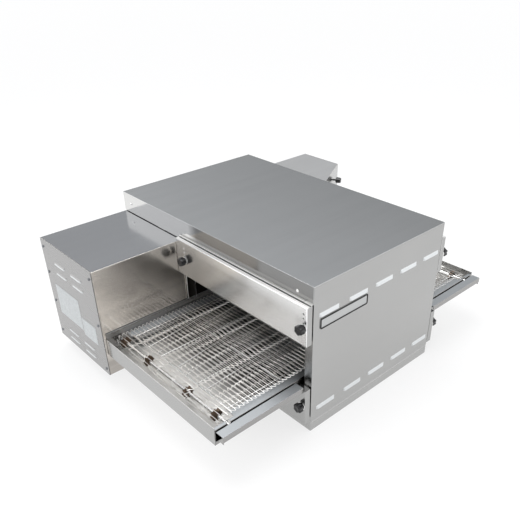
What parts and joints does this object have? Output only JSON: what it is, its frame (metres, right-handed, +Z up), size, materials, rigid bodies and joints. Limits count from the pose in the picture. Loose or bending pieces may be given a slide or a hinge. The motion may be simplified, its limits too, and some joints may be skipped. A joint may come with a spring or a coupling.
{
  "type": "conveyor pizza oven",
  "caption": "Countertop stainless conveyor oven with a wire mesh belt through a baking tunnel, height-adjustable end panels, pull-out crumb trays and machinery boxes at the back.",
  "frame": {"origin": "under the middle of the cabinet, on the surface that the oven stands on", "axes": "+X along the belt from the inlet end to the outlet end, +Y from the front panel to the back, +Z up"},
  "size_m": [1.121, 0.851, 0.45],
  "materials": {
    "cabinet_steel": "brushed stainless sheet",
    "cover_steel": "brushed stainless sheet, darker top",
    "conveyor_steel": "brushed stainless sheet",
    "belt_wire": "drawn stainless wire",
    "bright_steel": "turned bright steel",
    "black_plastic": "moulded black plastic",
    "chamber_steel": "heat-darkened stainless sheet",
    "insulation_wool": "mineral wool blanket",
    "galvanised_steel": "plain formed sheet",
    "cast_metal": "grey cast metal",
    "heater_sheath": "oxidised heater sheath",
    "plate_metal": "blank etched plate"
  },
  "bodies": {
    "oven_body": {"back_panel": "cabinet_steel", "base_pan": "cabinet_steel", "belt_support_grid": "conveyor_steel", "blower_housing": "galvanised_steel", "blower_motor": "cast_metal", "cable_gland": "black_plastic", "chamber_insulation": "insulation_wool", "chamber_liner": "chamber_steel", "control_panel": "cabinet_steel", "conveyor_belt": "belt_wire", "conveyor_rail_back": "conveyor_steel", "conveyor_rail_front": "conveyor_steel", "cooling_fan_frame": "black_plastic", "drive_chain": "cast_metal", "drive_motor": "cast_metal", "front_panel": "cabinet_steel", "heating_element": "heater_sheath", "inlet_box_cover": "cabinet_steel", "inlet_box_shell": "cabinet_steel", "inlet_end_frame": "cabinet_steel", "inlet_lower_panel": "cabinet_steel", "lower_jet_duct": "galvanised_steel", "name_plate": "plate_metal", "outlet_box_cover": "cabinet_steel", "outlet_box_shell": "cabinet_steel", "outlet_end_frame": "cabinet_steel", "outlet_lower_panel": "cabinet_steel", "temperature_probe": "bright_steel", "terminal_block": "black_plastic", "top_cover": "cover_steel", "upper_jet_duct": "galvanised_steel"},
    "inlet_door": {"inlet_upper_door": "cabinet_steel"},
    "outlet_door": {"outlet_upper_door": "cabinet_steel"},
    "inlet_tray": {"inlet_crumb_tray": "conveyor_steel"},
    "outlet_tray": {"outlet_crumb_tray": "conveyor_steel"},
    "drive_roller": {"drive_shaft": "bright_steel", "driven_sprocket": "cast_metal", "drive_belt_sprocket_1": "bright_steel", "drive_belt_sprocket_2": "bright_steel", "drive_belt_sprocket_3": "bright_steel", "drive_belt_sprocket_4": "bright_steel"},
    "idler_roller": {"idler_shaft": "bright_steel", "idler_belt_sprocket_1": "bright_steel", "idler_belt_sprocket_2": "bright_steel", "idler_belt_sprocket_3": "bright_steel", "idler_belt_sprocket_4": "bright_steel"},
    "motor_pinion": {"motor_sprocket": "cast_metal"},
    "blower": {"blower_wheel": "galvanised_steel"},
    "cooling_fan": {"cooling_fan_rotor": "black_plastic"},
    "speed_dial": {"speed_knob": "black_plastic"},
    "temperature_dial": {"temperature_knob": "black_plastic"},
    "power_switch": {"power_rocker": "black_plastic"},
    "inlet_upper_knob_front_body": {"inlet_upper_knob_front": "black_plastic"},
    "inlet_upper_knob_back_body": {"inlet_upper_knob_back": "black_plastic"},
    "inlet_lower_knob_front_body": {"inlet_lower_knob_front": "black_plastic"},
    "inlet_lower_knob_back_body": {"inlet_lower_knob_back": "black_plastic"},
    "outlet_upper_knob_front_body": {"outlet_upper_knob_front": "black_plastic"},
    "outlet_upper_knob_back_body": {"outlet_upper_knob_back": "black_plastic"},
    "outlet_lower_knob_front_body": {"outlet_lower_knob_front": "black_plastic"},
    "outlet_lower_knob_back_body": {"outlet_lower_knob_back": "black_plastic"}
  },
  "joints": [
    {"name": "inlet_door_slide", "type": "slide", "parent": "oven_body", "child": "inlet_door", "axis": [0, 0, -1], "range_m": [0, 0.04]},
    {"name": "outlet_door_slide", "type": "slide", "parent": "oven_body", "child": "outlet_door", "axis": [0, 0, -1], "range_m": [0, 0.04]},
    {"name": "inlet_tray_slide", "type": "slide", "parent": "oven_body", "child": "inlet_tray", "axis": [-1, 0, 0], "range_m": [0, 0.24]},
    {"name": "outlet_tray_slide", "type": "slide", "parent": "oven_body", "child": "outlet_tray", "axis": [1, 0, 0], "range_m": [0, 0.24]},
    {"name": "drive_spin", "type": "hinge", "parent": "oven_body", "child": "drive_roller", "pos_m": [-0.503, 0, 0.153], "axis": [0, 1, 0], "continuous": true},
    {"name": "idler_spin", "type": "hinge", "parent": "oven_body", "child": "idler_roller", "pos_m": [0.503, 0, 0.153], "axis": [0, 1, 0], "continuous": true},
    {"name": "motor_spin", "type": "hinge", "parent": "oven_body", "child": "motor_pinion", "pos_m": [-0.405, 0.134, 0.215], "axis": [0, 1, 0], "continuous": true},
    {"name": "blower_spin", "type": "hinge", "parent": "oven_body", "child": "blower", "pos_m": [0, 0.212, 0.24], "axis": [0, 1, 0], "continuous": true},
    {"name": "cooling_fan_spin", "type": "hinge", "parent": "oven_body", "child": "cooling_fan", "pos_m": [-0.4, 0.391, 0.31], "axis": [0, 1, 0], "continuous": true},
    {"name": "speed_dial_turn", "type": "hinge", "parent": "oven_body", "child": "speed_dial", "pos_m": [0.49974, 0.2105, 0.347], "axis": [0.4899, -0.8718, 0], "range_deg": [0, 300]},
    {"name": "temperature_dial_turn", "type": "hinge", "parent": "oven_body", "child": "temperature_dial", "pos_m": [0.49974, 0.2105, 0.272], "axis": [0.4899, -0.8718, 0], "range_deg": [0, 300]},
    {"name": "power_switch_rock", "type": "hinge", "parent": "oven_body", "child": "power_switch", "pos_m": [0.49974, 0.2105, 0.2], "axis": [0.8718, 0.4899, 0], "range_deg": [0, 20]},
    {"name": "inlet_upper_knob_front_turn", "type": "hinge", "parent": "inlet_door", "child": "inlet_upper_knob_front_body", "pos_m": [-0.2836, -0.409, 0.341], "axis": [-1, 0, 0], "continuous": true},
    {"name": "inlet_upper_knob_back_turn", "type": "hinge", "parent": "inlet_door", "child": "inlet_upper_knob_back_body", "pos_m": [-0.2836, 0.074, 0.341], "axis": [-1, 0, 0], "continuous": true},
    {"name": "inlet_lower_knob_front_turn", "type": "hinge", "parent": "oven_body", "child": "inlet_lower_knob_front_body", "pos_m": [-0.2836, -0.409, 0.097], "axis": [-1, 0, 0], "continuous": true},
    {"name": "inlet_lower_knob_back_turn", "type": "hinge", "parent": "oven_body", "child": "inlet_lower_knob_back_body", "pos_m": [-0.2836, 0.074, 0.097], "axis": [-1, 0, 0], "continuous": true},
    {"name": "outlet_upper_knob_front_turn", "type": "hinge", "parent": "outlet_door", "child": "outlet_upper_knob_front_body", "pos_m": [0.2836, -0.409, 0.341], "axis": [1, 0, 0], "continuous": true},
    {"name": "outlet_upper_knob_back_turn", "type": "hinge", "parent": "outlet_door", "child": "outlet_upper_knob_back_body", "pos_m": [0.2836, 0.074, 0.341], "axis": [1, 0, 0], "continuous": true},
    {"name": "outlet_lower_knob_front_turn", "type": "hinge", "parent": "oven_body", "child": "outlet_lower_knob_front_body", "pos_m": [0.2836, -0.409, 0.097], "axis": [1, 0, 0], "continuous": true},
    {"name": "outlet_lower_knob_back_turn", "type": "hinge", "parent": "oven_body", "child": "outlet_lower_knob_back_body", "pos_m": [0.2836, 0.074, 0.097], "axis": [1, 0, 0], "continuous": true}
  ],
  "couplings": [
    {"joint": "idler_spin", "follows": "drive_spin", "ratio": 1},
    {"joint": "motor_spin", "follows": "drive_spin", "ratio": 1.3333}
  ]
}
